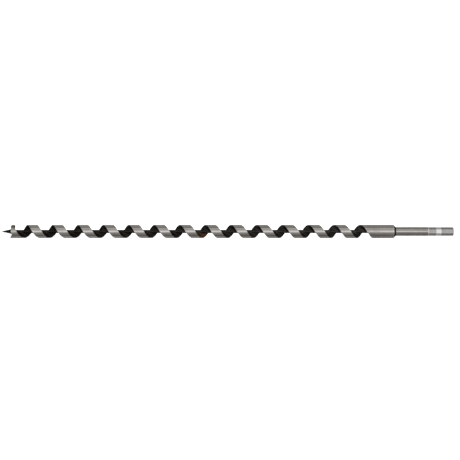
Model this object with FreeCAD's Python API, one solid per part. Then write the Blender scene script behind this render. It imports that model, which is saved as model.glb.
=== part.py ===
"""Solid-centre wood auger bit, 18 mm x 620 mm, on a hex drive shank.

Axis along X. The feed screw points to -X and the drive end face is at X = 0.
Angles are about the axis: 0 faces -Y, 90 faces -Z, 180 faces +Y, 270 faces +Z.
The helix is right-handed, so the angle grows with X. One drive flat faces -Y.
All sizes are in mm.
"""

import FreeCAD, Part
import math
import os

# overall
LENGTH = 620.0
BIT_DIAMETER = 18.0
CORE_DIAMETER = 4.4

# twist
LEAD = 35.3
LAND_WIDTH = 13.8
ROOT_FILLET = 2.5
FLANK_TAPER_DEG = 2.6
TWIST_END_X = -117.2
TURNS = 13

# cutting head
HEAD_FRONT_X = -605.7
HEAD_RIM_BREAK = 0.3
LIP_EDGE_X = -607.8
LIP_REAR_X = -602.05
LIP_RELIEF_DEG = 11.0
LIP_ROUND = 1.1
LIP_START_DEG = -104.0
LIP_END_DEG = -20.0
GULLET_X = -604.7
GULLET_Z = -3.6
SPUR_TIP_X = -608.4
SPUR_BASE_X = -599.0
SPUR_ROOT_X = -604.6
SPUR_ROOT_Z = -4.2
SPUR_THICKNESS = 2.6
SPUR_START_DEG = 24.0
SPUR_END_DEG = 104.0
BOSS_LENGTH = 7.0

# feed screw
SCREW_TIP_DIAMETER = 1.7
SCREW_BASE_DIAMETER = 7.6
SCREW_PITCH = 1.5
THREAD_DEPTH = 0.45
THREAD_LEAD_IN = 1.6

# collar and shank
COLLAR_START_X = -100.0
COLLAR_END_X = -80.6
SHOULDER_LENGTH = 2.9
SHANK_DIAMETER = 12.0
HEX_START_X = -34.6
HEX_ACROSS_FLATS = 10.5
HEX_CORNER_DIAMETER = 11.68
HEX_RUNOUT = 0.9
HEX_END_CHAMFER = 0.7
FLUTE_RAMP = 0.55

R = BIT_DIAMETER / 2
RC = CORE_DIAMETER / 2
RS = SHANK_DIAMETER / 2
TIP_X = -LENGTH
LAND_HALF_DEG = LAND_WIDTH / LEAD * 180.0
TURNS_START_X = TWIST_END_X - TURNS * LEAD
HEAD_END_X = TURNS_START_X - LEAD / 2
AXIS = FreeCAD.Vector(1, 0, 0)
BIG = 40.0


def point(x, radius, angle_deg):
    """Point at a distance from the axis and an angle about it."""
    a = math.radians(angle_deg)
    return FreeCAD.Vector(x, -radius * math.cos(a), -radius * math.sin(a))


def rod(radius, x0, x1):
    """Cylinder along the axis."""
    return Part.makeCylinder(radius, x1 - x0, FreeCAD.Vector(x0, 0, 0), AXIS)


def taper(radius0, radius1, x0, x1):
    """Truncated cone along the axis."""
    return Part.makeCone(radius0, radius1, x1 - x0, FreeCAD.Vector(x0, 0, 0), AXIS)


def round_rim(body, x, rounding):
    """Rounds the circular rim of a cylinder at one station."""
    rims = [edge for edge in body.Edges if edge.Closed and abs(edge.CenterOfMass.x - x) < 0.01]
    return body.makeFillet(rounding, rims)


def sector(radius, x0, x1, a0, a1):
    """Solid wedge of a cylinder between two angles."""
    corner0 = point(x0, radius, a0)
    middle = point(x0, radius, (a0 + a1) / 2)
    corner1 = point(x0, radius, a1)
    centre = FreeCAD.Vector(x0, 0, 0)
    edges = [
        Part.LineSegment(centre, corner0).toShape(),
        Part.Arc(corner0, middle, corner1).toShape(),
        Part.LineSegment(corner1, centre).toShape(),
    ]
    return Part.Face(Part.Wire(edges)).extrude(AXIS * (x1 - x0))


def half_space(origin, inward):
    """Large block that fills the side of a plane that the inward vector points to."""
    block = Part.makeBox(BIG, BIG, BIG, FreeCAD.Vector(-BIG / 2, -BIG / 2, 0))
    turn = FreeCAD.Rotation(FreeCAD.Vector(0, 0, 1), inward)
    block.Placement = FreeCAD.Placement(origin, turn)
    return block


def rib_mid_angle(x):
    """Angle of the middle of the land at a station on the axis."""
    return (x - TWIST_END_X) * 360.0 / LEAD - LAND_HALF_DEG


def flank(x, side):
    """Points of one flank: land corner, foot of the straight part, fillet middle, core foot."""
    mid = rib_mid_angle(x)
    root_deg = LAND_HALF_DEG + FLANK_TAPER_DEG
    swing = math.degrees(math.asin(ROOT_FILLET / (RC + ROOT_FILLET)))
    tangent_r = (RC + ROOT_FILLET) * math.cos(math.radians(swing))
    corner = point(x, R, mid + side * LAND_HALF_DEG)
    foot = point(x, tangent_r, mid + side * root_deg)
    centre = point(x, RC + ROOT_FILLET, mid + side * (root_deg + swing))
    core_foot = point(x, RC, mid + side * (root_deg + swing))
    bisector = (foot - centre).normalize() + (core_foot - centre).normalize()
    bulge = centre + bisector.normalize() * ROOT_FILLET
    return corner, foot, bulge, core_foot


def rib_section(x):
    """Cross section of the spiral rib down to the core."""
    mid = rib_mid_angle(x)
    corner0, foot0, bulge0, core0 = flank(x, 1)
    corner1, foot1, bulge1, core1 = flank(x, -1)
    return Part.Wire([
        Part.Arc(corner1, point(x, R, mid), corner0).toShape(),
        Part.LineSegment(corner0, foot0).toShape(),
        Part.Arc(foot0, bulge0, core0).toShape(),
        Part.Arc(core0, point(x, RC, mid), core1).toShape(),
        Part.Arc(core1, bulge1, foot1).toShape(),
        Part.LineSegment(foot1, corner1).toShape(),
    ])


def flute_section(x):
    """Cross section of the empty flute, carried past the outside of the bit."""
    mid = rib_mid_angle(x)
    corner0, foot0, bulge0, core0 = flank(x, 1)
    corner1, foot1, bulge1, core1 = flank(x, -1)
    outer0 = corner0 + (corner0 - foot0) * 0.5
    outer1 = corner1 + (corner1 - foot1) * 0.5
    return Part.Wire([
        Part.Arc(outer0, point(x, outer0.sub(FreeCAD.Vector(x, 0, 0)).Length, mid + 180), outer1).toShape(),
        Part.LineSegment(outer1, foot1).toShape(),
        Part.Arc(foot1, bulge1, core1).toShape(),
        Part.Arc(core1, point(x, RC, mid + 180), core0).toShape(),
        Part.Arc(core0, bulge0, foot0).toShape(),
        Part.LineSegment(foot0, outer0).toShape(),
    ])


def twisted(section, x0, x1):
    """Solid swept along the axis while it turns with the lead of the bit."""
    spine = Part.Wire(Part.makeLine(FreeCAD.Vector(x0, 0, 0), FreeCAD.Vector(x1, 0, 0)))
    guide = Part.makeHelix(LEAD, x1 - x0, R)
    guide.Placement = FreeCAD.Placement(
        FreeCAD.Vector(x0, 0, 0), FreeCAD.Rotation(FreeCAD.Vector(0, 0, 1), AXIS)
    )
    sweep = Part.BRepOffsetAPI.MakePipeShell(spine)
    sweep.setAuxiliarySpine(guide, True, False)
    sweep.add(section(x0))
    sweep.build()
    sweep.makeSolid()
    return sweep.shape()


def cutting_head():
    """Front of the rib with its core and the boss behind the feed screw."""
    body = round_rim(rod(R, HEAD_FRONT_X, HEAD_END_X), HEAD_FRONT_X, HEAD_RIM_BREAK)
    body = body.cut(twisted(flute_section, HEAD_FRONT_X - 1, HEAD_END_X + 1))
    boss = taper(SCREW_BASE_DIAMETER / 2, RC, HEAD_FRONT_X, HEAD_FRONT_X + BOSS_LENGTH)
    corner = FreeCAD.Vector(GULLET_X - BIG, -BIG / 2, GULLET_Z - BIG)
    return body.fuse(boss).cut(Part.makeBox(BIG, BIG, BIG, corner))


def cutting_lip(head):
    """Lip with the cutting edge along its leading side; the front falls away behind the edge."""
    start_x = LIP_EDGE_X - R
    edge = math.radians(LIP_START_DEG)
    rise = math.tan(math.radians(LIP_RELIEF_DEG))
    inward = FreeCAD.Vector(1, -rise * math.sin(edge), rise * math.cos(edge))
    block = rod(R, start_x, LIP_REAR_X)
    block = block.common(half_space(FreeCAD.Vector(LIP_EDGE_X, 0, 0), inward))
    block = round_rim(block, LIP_EDGE_X, LIP_ROUND)
    block = round_rim(block, LIP_REAR_X, LIP_ROUND)
    block = block.common(sector(R + 2, start_x, LIP_REAR_X, LIP_START_DEG, LIP_END_DEG))
    return block.cut(head).cut(rod(SCREW_BASE_DIAMETER / 2, start_x, HEAD_FRONT_X))


def scoring_spur(head):
    """Pointed side cutter on the rim of the head, opposite the lip."""
    block = sector(R, SPUR_TIP_X, SPUR_BASE_X, SPUR_START_DEG, SPUR_END_DEG)
    block = block.cut(rod(R - SPUR_THICKNESS, SPUR_TIP_X - 1, SPUR_BASE_X + 1))
    slope = FreeCAD.Vector(SPUR_TIP_X - SPUR_ROOT_X, 0, -R - SPUR_ROOT_Z)
    inward = FreeCAD.Vector(-slope.z, 0, slope.x)
    block = block.common(half_space(FreeCAD.Vector(SPUR_ROOT_X, 0, SPUR_ROOT_Z), inward))
    return block.cut(head)


def feed_screw():
    """Tapered lead screw that draws the bit into the wood."""
    base_x = HEAD_FRONT_X + 2
    length = HEAD_FRONT_X - TIP_X
    slope = (SCREW_BASE_DIAMETER - SCREW_TIP_DIAMETER) / 2 / length
    tip_r = SCREW_TIP_DIAMETER / 2
    root_end_r = tip_r + slope * (base_x - TIP_X) - THREAD_DEPTH
    root = taper(tip_r - THREAD_DEPTH, root_end_r, TIP_X, base_x)
    start_r = tip_r + slope * THREAD_LEAD_IN - THREAD_DEPTH
    run = base_x - TIP_X - THREAD_LEAD_IN
    helix = Part.makeHelix(SCREW_PITCH, run, start_r, math.degrees(math.atan(slope)))
    helix.Placement = FreeCAD.Placement(
        FreeCAD.Vector(TIP_X + THREAD_LEAD_IN, 0, 0),
        FreeCAD.Rotation(FreeCAD.Vector(0, 0, 1), AXIS),
    )
    start = helix.Vertexes[0].Point
    outward = (start - FreeCAD.Vector(start.x, 0, 0)).normalize()
    half = SCREW_PITCH * 0.42
    foot0 = start - AXIS * half - outward * 0.1
    foot1 = start + AXIS * half - outward * 0.1
    crest = start + outward * THREAD_DEPTH
    ridge = Part.makePolygon([foot0, crest, foot1, foot0])
    sweep = Part.BRepOffsetAPI.MakePipeShell(helix)
    sweep.setFrenetMode(True)
    sweep.add(ridge)
    sweep.build()
    sweep.makeSolid()
    screw = root.fuse(sweep.shape())
    return screw.cut(rod(R, HEAD_FRONT_X, HEAD_END_X))


def flute_runout():
    """End of the flute, where its floor climbs out to the collar."""
    ramp_mid = math.radians(360 - LAND_HALF_DEG)
    away = FreeCAD.Vector(0, -math.cos(ramp_mid), -math.sin(ramp_mid))
    origin = FreeCAD.Vector(TWIST_END_X, 0, 0) + away * RC
    inward = FreeCAD.Vector(-FLUTE_RAMP, 0, 0) - away
    flute = twisted(flute_section, TWIST_END_X - 1, COLLAR_START_X)
    flute = flute.common(half_space(origin, inward))
    return rod(R, TWIST_END_X, COLLAR_START_X).cut(flute)


def hexagon(x, across_flats):
    """Hexagon around the axis with one flat facing -Y."""
    corners = [point(x, across_flats / math.sqrt(3), 30 + 60 * i) for i in range(7)]
    return Part.makePolygon(corners)


def hex_drive():
    """Six drive flats cut into the round bar, with their run-outs and the end chamfer."""
    flat_x = HEX_START_X + HEX_RUNOUT
    runout = Part.makeLoft(
        [hexagon(HEX_START_X, SHANK_DIAMETER), hexagon(flat_x, HEX_ACROSS_FLATS)], True
    )
    prism = Part.Face(hexagon(flat_x, HEX_ACROSS_FLATS)).extrude(AXIS * -flat_x)
    bar = rod(HEX_CORNER_DIAMETER / 2, HEX_START_X, 0)
    chamfer = taper(RS + 2 * HEX_END_CHAMFER, RS - HEX_END_CHAMFER, -3 * HEX_END_CHAMFER, 0)
    chamfer = chamfer.fuse(rod(RS + 2 * HEX_END_CHAMFER, HEX_START_X, -3 * HEX_END_CHAMFER))
    return runout.fuse(prism).common(bar).common(chamfer).removeSplitter()


def build():
    """All pieces of the bit by name."""
    head = cutting_head()
    pieces = {
        "feed_screw": feed_screw(),
        "cutting_head": head,
        "cutting_lip": cutting_lip(head),
        "scoring_spur": scoring_spur(head),
        "twist_core": rod(RC, HEAD_END_X, TWIST_END_X),
        "flight_lead_in": twisted(rib_section, HEAD_END_X, TURNS_START_X),
        "flute_runout": flute_runout(),
        "collar": rod(R, COLLAR_START_X, COLLAR_END_X),
        "shoulder": taper(R, RS, COLLAR_END_X, COLLAR_END_X + SHOULDER_LENGTH),
        "round_shank": rod(RS, COLLAR_END_X + SHOULDER_LENGTH, HEX_START_X),
        "hex_drive": hex_drive(),
    }
    for turn in range(TURNS):
        start = TURNS_START_X + turn * LEAD
        name = "flight_turn_{:02d}".format(turn + 1)
        pieces[name] = twisted(rib_section, start, start + LEAD)
    return pieces


os.makedirs("parts", exist_ok=True)
for name, shape in build().items():
    if len(shape.Solids) == 1:
        shape = shape.Solids[0]
    shape.exportStep("parts/" + name + ".step")
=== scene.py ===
import math

import bpy
import numpy as np
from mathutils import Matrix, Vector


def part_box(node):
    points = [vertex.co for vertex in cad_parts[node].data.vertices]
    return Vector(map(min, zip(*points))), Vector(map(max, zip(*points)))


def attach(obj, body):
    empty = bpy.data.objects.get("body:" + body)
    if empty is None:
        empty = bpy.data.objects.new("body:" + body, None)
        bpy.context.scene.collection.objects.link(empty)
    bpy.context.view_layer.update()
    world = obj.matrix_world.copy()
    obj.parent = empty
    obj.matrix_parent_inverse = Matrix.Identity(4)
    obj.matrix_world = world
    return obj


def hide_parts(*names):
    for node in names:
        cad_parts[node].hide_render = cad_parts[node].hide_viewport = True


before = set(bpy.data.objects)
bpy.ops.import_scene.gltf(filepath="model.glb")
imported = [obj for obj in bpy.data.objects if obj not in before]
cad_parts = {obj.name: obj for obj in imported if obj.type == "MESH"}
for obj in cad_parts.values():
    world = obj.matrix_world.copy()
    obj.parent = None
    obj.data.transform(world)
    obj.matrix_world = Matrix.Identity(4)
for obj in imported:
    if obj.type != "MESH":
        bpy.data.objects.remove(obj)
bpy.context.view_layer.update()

# ---------------------------------------------------------------- dimensions, in metres
R = 0.009  # bit radius
RC = 0.0022  # core radius
RS = 0.006  # shank radius
LEAD = 0.0353  # advance of the helix in one turn
LAND_WIDTH = 0.0138  # along the axis
FILLET = 0.0025  # between the rib and the core
FLANK_TAPER = math.radians(2.6)
EDGE_BREAK = 0.00022  # rounding of the land's corners
X_TWIST_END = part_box("flute_runout")[0].x
X_TWIST_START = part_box("twist_core")[0].x
X_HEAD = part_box("cutting_head")[0].x
X_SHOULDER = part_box("shoulder")[0].x
X_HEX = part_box("hex_drive")[0].x
RUST_START = -0.356  # rusty stretch of one flank
RUST_END = -0.336
PAINTED_HIGHLIGHT_START = -0.0235  # band of painted highlight across the hex flats
PAINTED_HIGHLIGHT_END = -0.0165
FACING_PITCH = 0.0004  # spacing of the turned rings on the end face
LAND_HALF = LAND_WIDTH / LEAD * math.pi  # half the land's width, as an angle
TURN_STEPS = 112  # mesh steps per turn of the helix
LAND, FLANK, CAP = 0, 1, 2  # material slots of a spiral piece


# ---------------------------------------------------------------- node helpers
class Nodes:
    """Small helper that adds shader nodes and links them."""

    def __init__(self, name):
        self.material = bpy.data.materials.new(name)
        self.material.use_nodes = True
        self.tree = self.material.node_tree
        self.tree.nodes.clear()
        self.out = self.tree.nodes.new("ShaderNodeOutputMaterial")
        self.bsdf = self.tree.nodes.new("ShaderNodeBsdfPrincipled")
        self.tree.links.new(self.bsdf.outputs[0], self.out.inputs[0])
        coords = self.tree.nodes.new("ShaderNodeTexCoord")
        self.object = coords.outputs["Object"]
        split = self.node("ShaderNodeSeparateXYZ", Vector=self.object)
        self.x, self.y, self.z = split.outputs
        flat = self.node("ShaderNodeCombineXYZ", Y=self.y, Z=self.z)
        length = self.node("ShaderNodeVectorMath", operation="LENGTH")
        self.tree.links.new(flat.outputs[0], length.inputs[0])
        self.radius = length.outputs["Value"]
        self.angle = self.math("ARCTAN2", self.z, self.y)

    def node(self, kind, operation=None, **inputs):
        n = self.tree.nodes.new(kind)
        if operation:
            n.operation = operation
        for key, value in inputs.items():
            self.set(n.inputs[key], value)
        return n

    def set(self, socket, value):
        if isinstance(value, bpy.types.NodeSocket):
            self.tree.links.new(value, socket)
        else:
            socket.default_value = value

    def math(self, operation, a, b=0.0, clamp=False):
        n = self.tree.nodes.new("ShaderNodeMath")
        n.operation = operation
        n.use_clamp = clamp
        self.set(n.inputs[0], a)
        self.set(n.inputs[1], b)
        return n.outputs[0]

    def ramp(self, value, low, high, out_low=0.0, out_high=1.0):
        n = self.tree.nodes.new("ShaderNodeMapRange")
        n.interpolation_type = "SMOOTHSTEP"
        self.set(n.inputs["Value"], value)
        self.set(n.inputs["From Min"], low)
        self.set(n.inputs["From Max"], high)
        self.set(n.inputs["To Min"], out_low)
        self.set(n.inputs["To Max"], out_high)
        return n.outputs["Result"]

    def noise(self, vector, scale, detail=3.0, rough=0.5):
        n = self.node("ShaderNodeTexNoise", Vector=vector, Scale=scale, Detail=detail, Roughness=rough)
        return n.outputs["Fac"]

    def stretched(self, sx, sy, sz):
        """Object coordinates scaled on each axis, for marks that run one way."""
        n = self.node("ShaderNodeMapping", Vector=self.object)
        n.inputs["Scale"].default_value = (sx, sy, sz)
        return n.outputs[0]

    def around(self, along, turns):
        """Coordinates (x, angle, radius) so that marks can run around the axis."""
        c = self.node(
            "ShaderNodeCombineXYZ",
            X=self.math("MULTIPLY", self.x, along),
            Y=self.math("MULTIPLY", self.math("COSINE", self.angle), turns),
            Z=self.math("MULTIPLY", self.math("SINE", self.angle), turns),
        )
        return c.outputs[0]

    def rib_offset(self):
        """Angle from the middle of the rib, in radians, negative on the flank that faces +X."""
        turned = self.math("MULTIPLY", self.math("SUBTRACT", self.x, X_TWIST_END), 1 / LEAD)
        own = self.math("MULTIPLY", self.angle, 0.5 / math.pi)
        phase = self.math("SUBTRACT", self.math("SUBTRACT", own, turned), 0.5 - LAND_HALF / 2 / math.pi)
        wrapped = self.math("SUBTRACT", self.math("FRACT", self.math("ADD", phase, 0.5)), 0.5)
        return self.math("MULTIPLY", wrapped, 2 * math.pi)

    def land_edge(self):
        """Distance along the surface from the nearer edge of the land, in metres."""
        away = self.math("ABSOLUTE", self.rib_offset())
        return self.math("MULTIPLY", self.math("SUBTRACT", LAND_HALF, away), R)

    def both(self, a, b):
        return self.math("MULTIPLY", a, b)

    def mix(self, factor, a, b):
        n = self.tree.nodes.new("ShaderNodeMix")
        n.data_type = "RGBA"
        self.set(n.inputs[0], factor)
        self.set(n.inputs[6], a)
        self.set(n.inputs[7], b)
        return n.outputs[2]

    def mix_value(self, factor, a, b):
        n = self.tree.nodes.new("ShaderNodeMix")
        self.set(n.inputs[0], factor)
        self.set(n.inputs[2], a)
        self.set(n.inputs[3], b)
        return n.outputs[0]

    def bump(self, height, strength, distance):
        n = self.node("ShaderNodeBump", Height=height)
        n.inputs["Strength"].default_value = strength
        n.inputs["Distance"].default_value = distance
        return n.outputs[0]


def rgb(v, warm=0.0):
    """Grey of one brightness, shifted towards red by its warmth."""
    return (v * (1 + warm), v, v * (1 - warm), 1.0)


# ---------------------------------------------------------------- materials
GROUND_MARKS = 0.00020  # spacing of the marks left by grinding
COLLAR_MARKS = 0.00022
TURNED_MARKS = 0.00030  # spacing of the marks left by turning
EDGE_TINT = (0.1, 0.1, 0.1, 1)  # brightness of steel seen at a low angle
PIT_DEPTH = 0.00001
SCALE_DEPTH = 0.00005


def steel_look(m, tone, warm, mark_pitch, mark_turns=0.7):
    """Ground or turned steel: colour and fine marks that run around the axis."""
    cloud = m.noise(m.stretched(70, 240, 240), 1.0, 4.0, 0.6)
    marks = m.noise(m.around(1 / mark_pitch, mark_turns), 1.0, 3.0, 0.65)
    bands = m.noise(m.around(0.12 / mark_pitch, 0.8), 1.0, 2.0, 0.5)
    pits = m.noise(m.stretched(1400, 1400, 1400), 1.0, 2.0, 0.5)
    stains = m.noise(m.stretched(55, 160, 160), 1.0, 5.0, 0.65)
    colour = m.mix(m.ramp(cloud, 0.32, 0.68), rgb(tone * 0.90, warm * 1.3), rgb(tone * 1.08, warm * 0.7))
    colour = m.mix(m.ramp(marks, 0.35, 0.7, 0.0, 0.30), colour, rgb(tone * 0.74, warm * 1.6))
    colour = m.mix(m.ramp(bands, 0.5, 0.75, 0.0, 0.22), colour, rgb(tone * 1.3, warm * 0.5))
    colour = m.mix(m.ramp(stains, 0.58, 0.74, 0.0, 0.22), colour, (tone * 0.86, tone * 0.68, tone * 0.5, 1))
    colour = m.mix(m.ramp(pits, 0.68, 0.76, 0.0, 0.6), colour, rgb(tone * 0.3, warm * 2))
    return colour, marks, pits


def finish_steel(m, colour, marks, pits, rough, bump, dull=0.0):
    """Metal finish; where dull is 1 the surface is milled and scatters more."""
    m.set(m.bsdf.inputs["Base Color"], colour)
    m.bsdf.inputs["Metallic"].default_value = 1.0
    m.bsdf.inputs["Specular Tint"].default_value = EDGE_TINT
    satin = m.ramp(marks, 0.25, 0.75, rough * 0.85, rough * 1.25)
    m.set(m.bsdf.inputs["Roughness"], m.mix_value(dull, satin, 0.40))
    height = m.math("SUBTRACT", marks, m.ramp(pits, 0.66, 0.78))
    m.set(m.bsdf.inputs["Normal"], m.bump(height, bump, PIT_DEPTH))


def turned_steel(name, tone, rough, warm=0.03):
    """Plain turned steel."""
    m = Nodes(name)
    colour, marks, pits = steel_look(m, tone, warm, TURNED_MARKS)
    finish_steel(m, colour, marks, pits, rough, 0.3)
    return m


def collar_look(name):
    """Collar: turned steel with a painted highlight along the corner at the shoulder."""
    m = Nodes(name)
    tone = 0.47
    colour, marks, pits = steel_look(m, tone, 0.03, COLLAR_MARKS)
    # Painted highlight: a bright line along the collar's corner at the shoulder.
    corner = m.ramp(m.x, X_SHOULDER - 0.0011, X_SHOULDER - 0.0004)
    colour = m.mix(m.both(corner, 0.8), colour, rgb(tone * 1.5))
    finish_steel(m, colour, marks, pits, 0.16, 0.3)
    return m


def heat_tint(m, colour, tone):
    """Browning of the head towards the corner of the lip."""
    heat = m.both(m.ramp(m.z, 0.0035, 0.0060), m.ramp(m.x, X_HEAD + 0.004, X_HEAD + 0.008, 1.0, 0.0))
    return m.mix(m.both(heat, 0.85), colour, (tone * 0.60, tone * 0.52, tone * 0.43, 1))


def lip_look(name):
    """Lip: ground steel, browned by heat towards its outer edge."""
    m = Nodes(name)
    tone = 0.42
    colour, marks, pits = steel_look(m, tone, 0.04, TURNED_MARKS)
    finish_steel(m, heat_tint(m, colour, tone), marks, pits, 0.24, 0.3)
    return m


def land_steel(name, tone, rough, warm=0.03):
    """Outside of the rib: ground around the axis, with a painted highlight along both edges."""
    m = Nodes(name)
    colour, marks, pits = steel_look(m, tone, warm, GROUND_MARKS)
    # Painted highlight: a bright line along both edges of the land, with a ragged inner border.
    edge = m.land_edge()
    ragged = m.noise(m.stretched(900, 900, 900), 1.0, 2.0, 0.5)
    near = m.math("ADD", edge, m.math("MULTIPLY", m.math("SUBTRACT", ragged, 0.5), 0.0006))
    colour = m.mix(m.ramp(near, 0.0, 0.0006, 0.75, 0.0), colour, rgb(tone * 1.55, 0.0))
    finish_steel(m, colour, marks, pits, rough, 0.3)
    return m


def scale_look(m):
    """Black forging scale, a little greyer towards the shank, with faint brown patches."""
    patch = m.noise(m.stretched(110, 110, 110), 1.0, 4.0, 0.6)
    speck = m.noise(m.stretched(1100, 1100, 1100), 1.0, 3.0, 0.6)
    wear = m.ramp(m.x, X_TWIST_START, X_TWIST_END)
    low = m.mix(wear, rgb(0.018, 0.10), rgb(0.036, 0.05))
    high = m.mix(wear, rgb(0.034, 0.14), rgb(0.060, 0.06))
    colour = m.mix(m.ramp(patch, 0.35, 0.68), low, high)
    colour = m.mix(m.ramp(speck, 0.58, 0.8, 0.0, 0.5), colour, rgb(0.08, 0.10))
    return colour, patch, speck


def finish_scale(m, colour, speck):
    """Scale scatters like a rough metal and stays dark at low angles."""
    m.set(m.bsdf.inputs["Base Color"], colour)
    m.bsdf.inputs["Metallic"].default_value = 1.0
    m.bsdf.inputs["Specular Tint"].default_value = (0.0, 0.0, 0.0, 1)
    m.set(m.bsdf.inputs["Roughness"], m.ramp(speck, 0.3, 0.7, 0.42, 0.62))
    m.set(m.bsdf.inputs["Normal"], m.bump(speck, 0.4, SCALE_DEPTH))


def black_scale(name):
    """Plain black forging scale."""
    m = Nodes(name)
    colour, _, speck = scale_look(m)
    finish_scale(m, colour, speck)
    return m


def flank_scale(name):
    """Flanks of the rib: black scale, brown in the flute floors, rusty on one turn."""
    m = Nodes(name)
    colour, patch, speck = scale_look(m)
    facing_drive = m.ramp(m.rib_offset(), -0.2, 0.2, 1.0, 0.0)
    ragged = m.math("MULTIPLY", m.math("SUBTRACT", patch, 0.5), 0.004)
    brown = m.both(facing_drive, m.ramp(patch, 0.56, 0.72, 0.0, 0.35))
    colour = m.mix(brown, colour, (0.075, 0.043, 0.024, 1))
    along = m.math("ADD", m.x, ragged)
    stretch = m.both(m.ramp(along, RUST_START - 0.001, RUST_START + 0.001),
                     m.ramp(along, RUST_END - 0.001, RUST_END + 0.001, 1.0, 0.0))
    outer = m.ramp(m.math("ADD", m.radius, m.math("MULTIPLY", ragged, 0.3)), 0.0026, 0.0036)
    rust = m.both(m.both(facing_drive, outer), stretch)
    rust_tone = m.mix(m.ramp(speck, 0.35, 0.7), (0.10, 0.055, 0.032, 1), (0.17, 0.092, 0.050, 1))
    colour = m.mix(rust, colour, rust_tone)
    finish_scale(m, colour, speck)
    return m


def head_look(name):
    """Cutting head and run-out: ground outside and on the front end, black scale in the flute."""
    m = Nodes(name)
    tone = 0.42
    colour, marks, pits = steel_look(m, tone, 0.04, TURNED_MARKS)
    colour = heat_tint(m, colour, tone)
    dark, _, speck = scale_look(m)
    outside = m.ramp(m.radius, R - 0.00025, R - 0.00012)
    front = m.ramp(m.x, X_HEAD + 0.0003, X_HEAD + 0.0005, 1.0, 0.0)
    ground = m.math("MAXIMUM", outside, front)
    m.set(m.bsdf.inputs["Base Color"], m.mix(ground, dark, colour))
    m.bsdf.inputs["Metallic"].default_value = 1.0
    m.bsdf.inputs["Specular Tint"].default_value = EDGE_TINT
    m.set(m.bsdf.inputs["Roughness"], m.mix_value(ground, 0.5, m.ramp(marks, 0.25, 0.75, 0.2, 0.3)))
    height = m.mix_value(ground, m.math("MULTIPLY", speck, 4.0), marks)
    m.set(m.bsdf.inputs["Normal"], m.bump(height, 0.3, PIT_DEPTH))
    return m


def hex_steel(name):
    """Milled flats over turned steel, painted darker partly for the milled finish and partly as painted
    shade, with a painted highlight band across them, a painted highlight at their run-out, and rings on the
    end face.
    """
    m = Nodes(name)
    tone = 0.50
    colour, marks, pits = steel_look(m, tone, 0.0, TURNED_MARKS, 0.25)
    depth = m.math("SUBTRACT", RS, m.radius)
    flat = m.ramp(depth, 0.00002, 0.00008)
    cutter = m.noise(m.stretched(2300, 60, 60), 1.0, 2.0, 0.6)
    # The flats' darker tone is partly their milled finish and partly painted shade standing in for the dark
    # reflection seen on them.
    flat_tone = m.mix(m.ramp(cutter, 0.35, 0.65), rgb(tone * 0.70), rgb(tone * 0.90))
    colour = m.mix(flat, colour, flat_tone)
    # Painted highlight: a bright band across the flats.
    band = m.both(m.ramp(m.x, PAINTED_HIGHLIGHT_START - 0.0003, PAINTED_HIGHLIGHT_START + 0.0003),
                  m.ramp(m.x, PAINTED_HIGHLIGHT_END - 0.0003, PAINTED_HIGHLIGHT_END + 0.0003, 1.0, 0.0))
    colour = m.mix(m.both(flat, band), colour, rgb(tone * 1.5))
    # Painted highlight at the run-out where the flats begin.
    runout = m.both(flat, m.ramp(m.x, X_HEX + 0.0010, X_HEX + 0.0016, 1.0, 0.0))
    colour = m.mix(runout, colour, rgb(tone * 1.6))
    outward = m.node("ShaderNodeCombineXYZ", X=m.math("MULTIPLY", m.radius, 1 / FACING_PITCH))
    rings = m.ramp(m.noise(outward.outputs[0], 1.0, 2.0, 0.6), 0.35, 0.65)
    end_face = m.ramp(m.x, -0.00004, -0.00001)
    faced = m.mix(rings, rgb(tone * 0.55, 0.02), rgb(tone * 0.95))
    colour = m.mix(end_face, colour, faced)
    finish_steel(m, colour, marks, pits, 0.2, 0.3, flat)
    return m


def put(obj, *materials):
    """Gives a piece its materials; the faces keep the slot they were made with."""
    for i, m in enumerate(materials):
        if i < len(obj.data.materials):
            obj.data.materials[i] = m.material
        else:
            obj.data.materials.append(m.material)


# ---------------------------------------------------------------- mesh helpers
def mesh_object(name, points, faces, slots=None, normals=None, flat=()):
    mesh = bpy.data.meshes.new(name)
    mesh.from_pydata([tuple(p) for p in points], [], faces)
    mesh.polygons.foreach_set("use_smooth", [i not in flat for i in range(len(faces))])
    if slots is not None:
        mesh.polygons.foreach_set("material_index", slots)
    mesh.update()
    if normals is not None:
        mesh.normals_split_custom_set_from_vertices([tuple(n) for n in normals])
    obj = bpy.data.objects.new(name, mesh)
    bpy.context.scene.collection.objects.link(obj)
    return obj


def grid_faces(rings, columns, closed=True):
    """Quads of a tube made of rings, each with the same number of points."""
    faces = []
    last = columns if closed else columns - 1
    for i in range(rings - 1):
        for j in range(last):
            k = (j + 1) % columns
            faces.append((i * columns + j, i * columns + k, (i + 1) * columns + k, (i + 1) * columns + j))
    return faces


def tube(name, grid, slots=None):
    """Closed tube from an array [ring, column, xyz], with smooth normals and flat end caps."""
    rings, columns, _ = grid.shape
    faces = grid_faces(rings, columns)
    side = len(faces)
    faces.append(tuple(reversed(range(columns))))
    faces.append(tuple((rings - 1) * columns + j for j in range(columns)))
    along = np.gradient(grid, axis=0)
    across = np.roll(grid, -1, axis=1) - np.roll(grid, 1, axis=1)
    normal = np.cross(across, along)
    normal /= np.maximum(np.linalg.norm(normal, axis=2, keepdims=True), 1e-12)
    if slots is not None:
        slots = list(np.tile(slots, rings - 1)) + [CAP, CAP]
    return mesh_object(
        name, grid.reshape(-1, 3), faces, slots, normal.reshape(-1, 3), (side, side + 1)
    )


def polar(x, r, a):
    """Points from station, radius and angle, where angle 0 faces -Y and a quarter turn faces -Z."""
    return np.stack([x + 0 * a, -r * np.cos(a), -r * np.sin(a)], axis=-1)


def rib_mid(x):
    """Angle of the middle of the land at a station on the axis."""
    return (x - X_TWIST_END) / LEAD * 2 * math.pi - LAND_HALF


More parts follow.
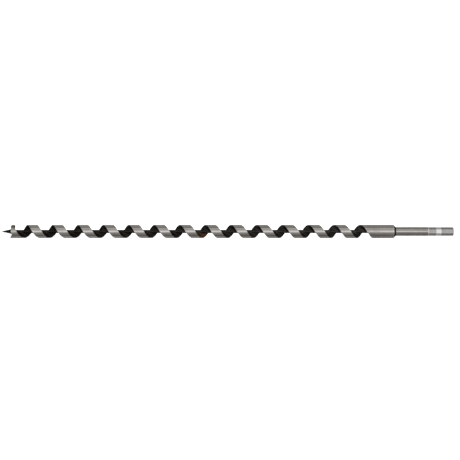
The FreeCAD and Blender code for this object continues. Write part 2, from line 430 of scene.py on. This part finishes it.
def rib_profile():
    """Half outline of the rib's cross section as (radius, angle from the rib's middle, slot)."""
    root = LAND_HALF + FLANK_TAPER
    swing = math.asin(FILLET / (RC + FILLET))
    tangent = (RC + FILLET) * math.cos(swing)
    out = []
    core_end = root + swing
    for t in np.linspace(0.0, 1.0, 9)[:-1]:
        out.append((RC, core_end * t, FLANK))
    centre = (RC + FILLET) * np.array([math.cos(core_end), math.sin(core_end)])
    start = math.atan2(-math.sin(core_end), -math.cos(core_end))
    foot = tangent * np.array([math.cos(root), math.sin(root)])
    end = math.atan2(foot[1] - centre[1], foot[0] - centre[0])
    sweep = (end - start + math.pi) % (2 * math.pi) - math.pi
    for t in np.linspace(0.0, 1.0, 11):
        p = centre + FILLET * np.array([math.cos(start + sweep * t), math.sin(start + sweep * t)])
        out.append((math.hypot(*p), math.atan2(p[1], p[0]), FLANK))
    for t in np.linspace(0.0, 1.0, 9)[1:]:
        r = tangent + (R - EDGE_BREAK - tangent) * t
        s = (r - tangent) / (R - tangent)
        out.append((r, root + (LAND_HALF - root) * s, FLANK))
    for t in np.linspace(0.0, 1.0, 5)[1:]:
        q = t * math.pi / 2
        r = R - EDGE_BREAK * (1 - math.sin(q))
        a = LAND_HALF - EDGE_BREAK / R * (1 - math.cos(q))
        out.append((r, a, FLANK))
    first = out[-1][1]
    for t in np.linspace(0.0, 1.0, 19)[1:]:
        out.append((R, first * (1 - t), LAND))
    return out


def rib(name, x0, x1, steps):
    """Stretch of the spiral rib, down to the core."""
    half = rib_profile()
    outline = half + [(r, -a, s) for r, a, s in reversed(half[1:-1])]
    outline.reverse()
    radius = np.array([p[0] for p in outline])
    angle = np.array([p[1] for p in outline])
    kind = np.array([p[2] for p in outline])
    slots = np.minimum(kind, np.roll(kind, -1))
    x = np.linspace(x0, x1, steps + 1)[:, None]
    grid = polar(x, radius[None, :], angle[None, :] + rib_mid(x))
    return tube(name, grid, slots)


def ride(piece, node):
    """Puts a piece in the place of its CAD node."""
    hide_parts(node)
    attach(piece, "root")


# ---------------------------------------------------------------- pieces
land = land_steel("land_steel", 0.48, 0.16)
collar_steel = collar_look("collar_steel")
lip = lip_look("lip_steel")
runout_look = head_look("runout_steel")
shank_steel = turned_steel("shank_steel", 0.43, 0.08)
chamfer_steel = turned_steel("chamfer_steel", 0.05, 0.3)
hex_look = hex_steel("hex_steel")
scale = black_scale("black_scale")
flank = flank_scale("flank_scale")
head = head_look("head_steel")

turn_nodes = sorted(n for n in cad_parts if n.startswith("flight_"))
for node in turn_nodes:
    low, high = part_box(node)
    steps = round(TURN_STEPS * (high.x - low.x) / LEAD)
    piece = rib(node.replace("flight", "spiral"), low.x, high.x, steps)
    put(piece, land, flank, head)
    ride(piece, node)

for node, material in (
    ("feed_screw", scale),
    ("twist_core", scale),
    ("cutting_head", head),
    ("cutting_lip", lip),
    ("scoring_spur", head),
    ("flute_runout", runout_look),
    ("collar", collar_steel),
    ("shoulder", chamfer_steel),
    ("round_shank", shank_steel),
    ("hex_drive", hex_look),
):
    put(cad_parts[node], material)

# ---------------------------------------------------------------- stage
# Brightness of the sky by the height of the direction, from straight down (-1) to straight up (1).
SKY_FRONT = (
    (-1.0, 0.16),
    (-0.97, 0.17),
    (-0.83, 0.31),
    (-0.60, 0.36),
    (-0.45, 0.45),
    (-0.30, 0.66),
    (-0.14, 1.05),
    (-0.02, 1.50),
    (0.10, 1.25),
    (0.26, 0.92),
    (0.42, 0.64),
    (0.58, 0.60),
    (0.80, 0.76),
    (0.90, 0.50),
    (0.96, 0.24),
    (1.0, 0.34),
)
SKY_BACK = (
    (-1.0, 0.16),
    (-0.97, 0.46),
    (-0.70, 0.60),
    (-0.30, 0.56),
    (0.0, 0.70),
    (0.25, 0.50),
    (0.55, 0.44),
    (0.80, 0.50),
    (0.98, 0.46),
    (1.0, 0.34),
)
SKY_PEAK = 1.5
SKY_WARMTH = 0.05
FLOOR_HALF = 9.0
SUN_STRENGTH = 2.6
SUN_ANGLE = math.radians(70)
SUN_TILT = (math.radians(12), math.radians(-8), 0)


def sky_ramp(tree, height, levels):
    """Brightness by height of the direction, warmer where it is dim."""
    ramp = tree.nodes.new("ShaderNodeValToRGB")
    tree.links.new(height, ramp.inputs["Fac"])
    elements = ramp.color_ramp.elements
    while len(elements) < len(levels):
        elements.new(0.5)
    for element, (z, level) in zip(elements, levels):
        element.position = (z + 1) / 2
    for element, (z, level) in zip(elements, levels):
        warm = SKY_WARMTH * max(0.0, 1 - level / SKY_PEAK)
        share = level / SKY_PEAK
        element.color = (share * (1 + warm), share, share * (1 - warm), 1.0)
    return ramp.outputs["Color"]


def studio_world():
    """Soft light brightest at eye level, and plain white where the camera sees it."""
    world = bpy.data.worlds.new("studio")
    world.use_nodes = True
    tree = world.node_tree
    background = tree.nodes["Background"]
    direction = tree.nodes.new("ShaderNodeTexCoord").outputs["Generated"]
    split = tree.nodes.new("ShaderNodeSeparateXYZ")
    tree.links.new(direction, split.inputs[0])
    height = tree.nodes.new("ShaderNodeMapRange")
    height.inputs["From Min"].default_value = -1.0
    tree.links.new(split.outputs["Z"], height.inputs["Value"])
    front = sky_ramp(tree, height.outputs["Result"], SKY_FRONT)
    back = sky_ramp(tree, height.outputs["Result"], SKY_BACK)
    side = tree.nodes.new("ShaderNodeMapRange")
    side.interpolation_type = "SMOOTHSTEP"
    side.inputs["From Min"].default_value = -0.15
    side.inputs["From Max"].default_value = 0.25
    tree.links.new(split.outputs["Y"], side.inputs["Value"])
    sky = tree.nodes.new("ShaderNodeMix")
    sky.data_type = "RGBA"
    tree.links.new(side.outputs["Result"], sky.inputs[0])
    tree.links.new(front, sky.inputs[6])
    tree.links.new(back, sky.inputs[7])
    path = tree.nodes.new("ShaderNodeLightPath")
    seen = tree.nodes.new("ShaderNodeMix")
    seen.data_type = "RGBA"
    tree.links.new(path.outputs["Is Camera Ray"], seen.inputs[0])
    tree.links.new(sky.outputs[2], seen.inputs[6])
    seen.inputs[7].default_value = (1.0, 1.0, 1.0, 1.0)
    tree.links.new(seen.outputs[2], background.inputs["Color"])
    background.inputs["Strength"].default_value = SKY_PEAK
    bpy.context.scene.world = world


def white_floor():
    """Plain pale floor that the bit lies on; polished steel doesn't mirror it."""
    h = FLOOR_HALF
    mesh = bpy.data.meshes.new("floor")
    mesh.from_pydata([(-h, -h, 0), (h, -h, 0), (h, h, 0), (-h, h, 0)], [], [(0, 1, 2, 3)])
    floor = bpy.data.objects.new("floor", mesh)
    floor.location = (0, 0, -R)
    floor.visible_glossy = False
    bpy.context.scene.collection.objects.link(floor)
    look = Nodes("floor_white")
    look.bsdf.inputs["Base Color"].default_value = (0.9, 0.9, 0.9, 1)
    look.bsdf.inputs["Roughness"].default_value = 1.0
    look.bsdf.inputs["Specular IOR Level"].default_value = 0.0
    put(floor, look)


def overhead_light():
    """Broad soft light from above for the floor and the dull surfaces."""
    data = bpy.data.lights.new("overhead", "SUN")
    data.energy = SUN_STRENGTH
    data.angle = SUN_ANGLE
    light = bpy.data.objects.new("overhead", data)
    light.rotation_euler = SUN_TILT
    light.visible_glossy = False
    bpy.context.scene.collection.objects.link(light)


studio_world()
white_floor()
overhead_light()

# ---------------------------------------------------------------- camera
CAMERA_DISTANCE = 1.3186
CAMERA_X = -0.24614
CAMERA_HEIGHT = 0.002
YAW = math.radians(2.5)
SENSOR_MM = 36.0
LENS_MM = 75.2
camera_data = bpy.data.cameras.new("camera")
camera_data.sensor_width = SENSOR_MM
camera_data.lens = LENS_MM
camera_data.clip_start = 0.01
camera_data.clip_end = 50
camera = bpy.data.objects.new("camera", camera_data)
camera.location = (CAMERA_X, -CAMERA_DISTANCE, CAMERA_HEIGHT)
camera.rotation_euler = (math.pi / 2, 0, YAW)
bpy.context.scene.collection.objects.link(camera)
bpy.context.scene.camera = camera
bpy.context.scene.view_settings.view_transform = "Standard"
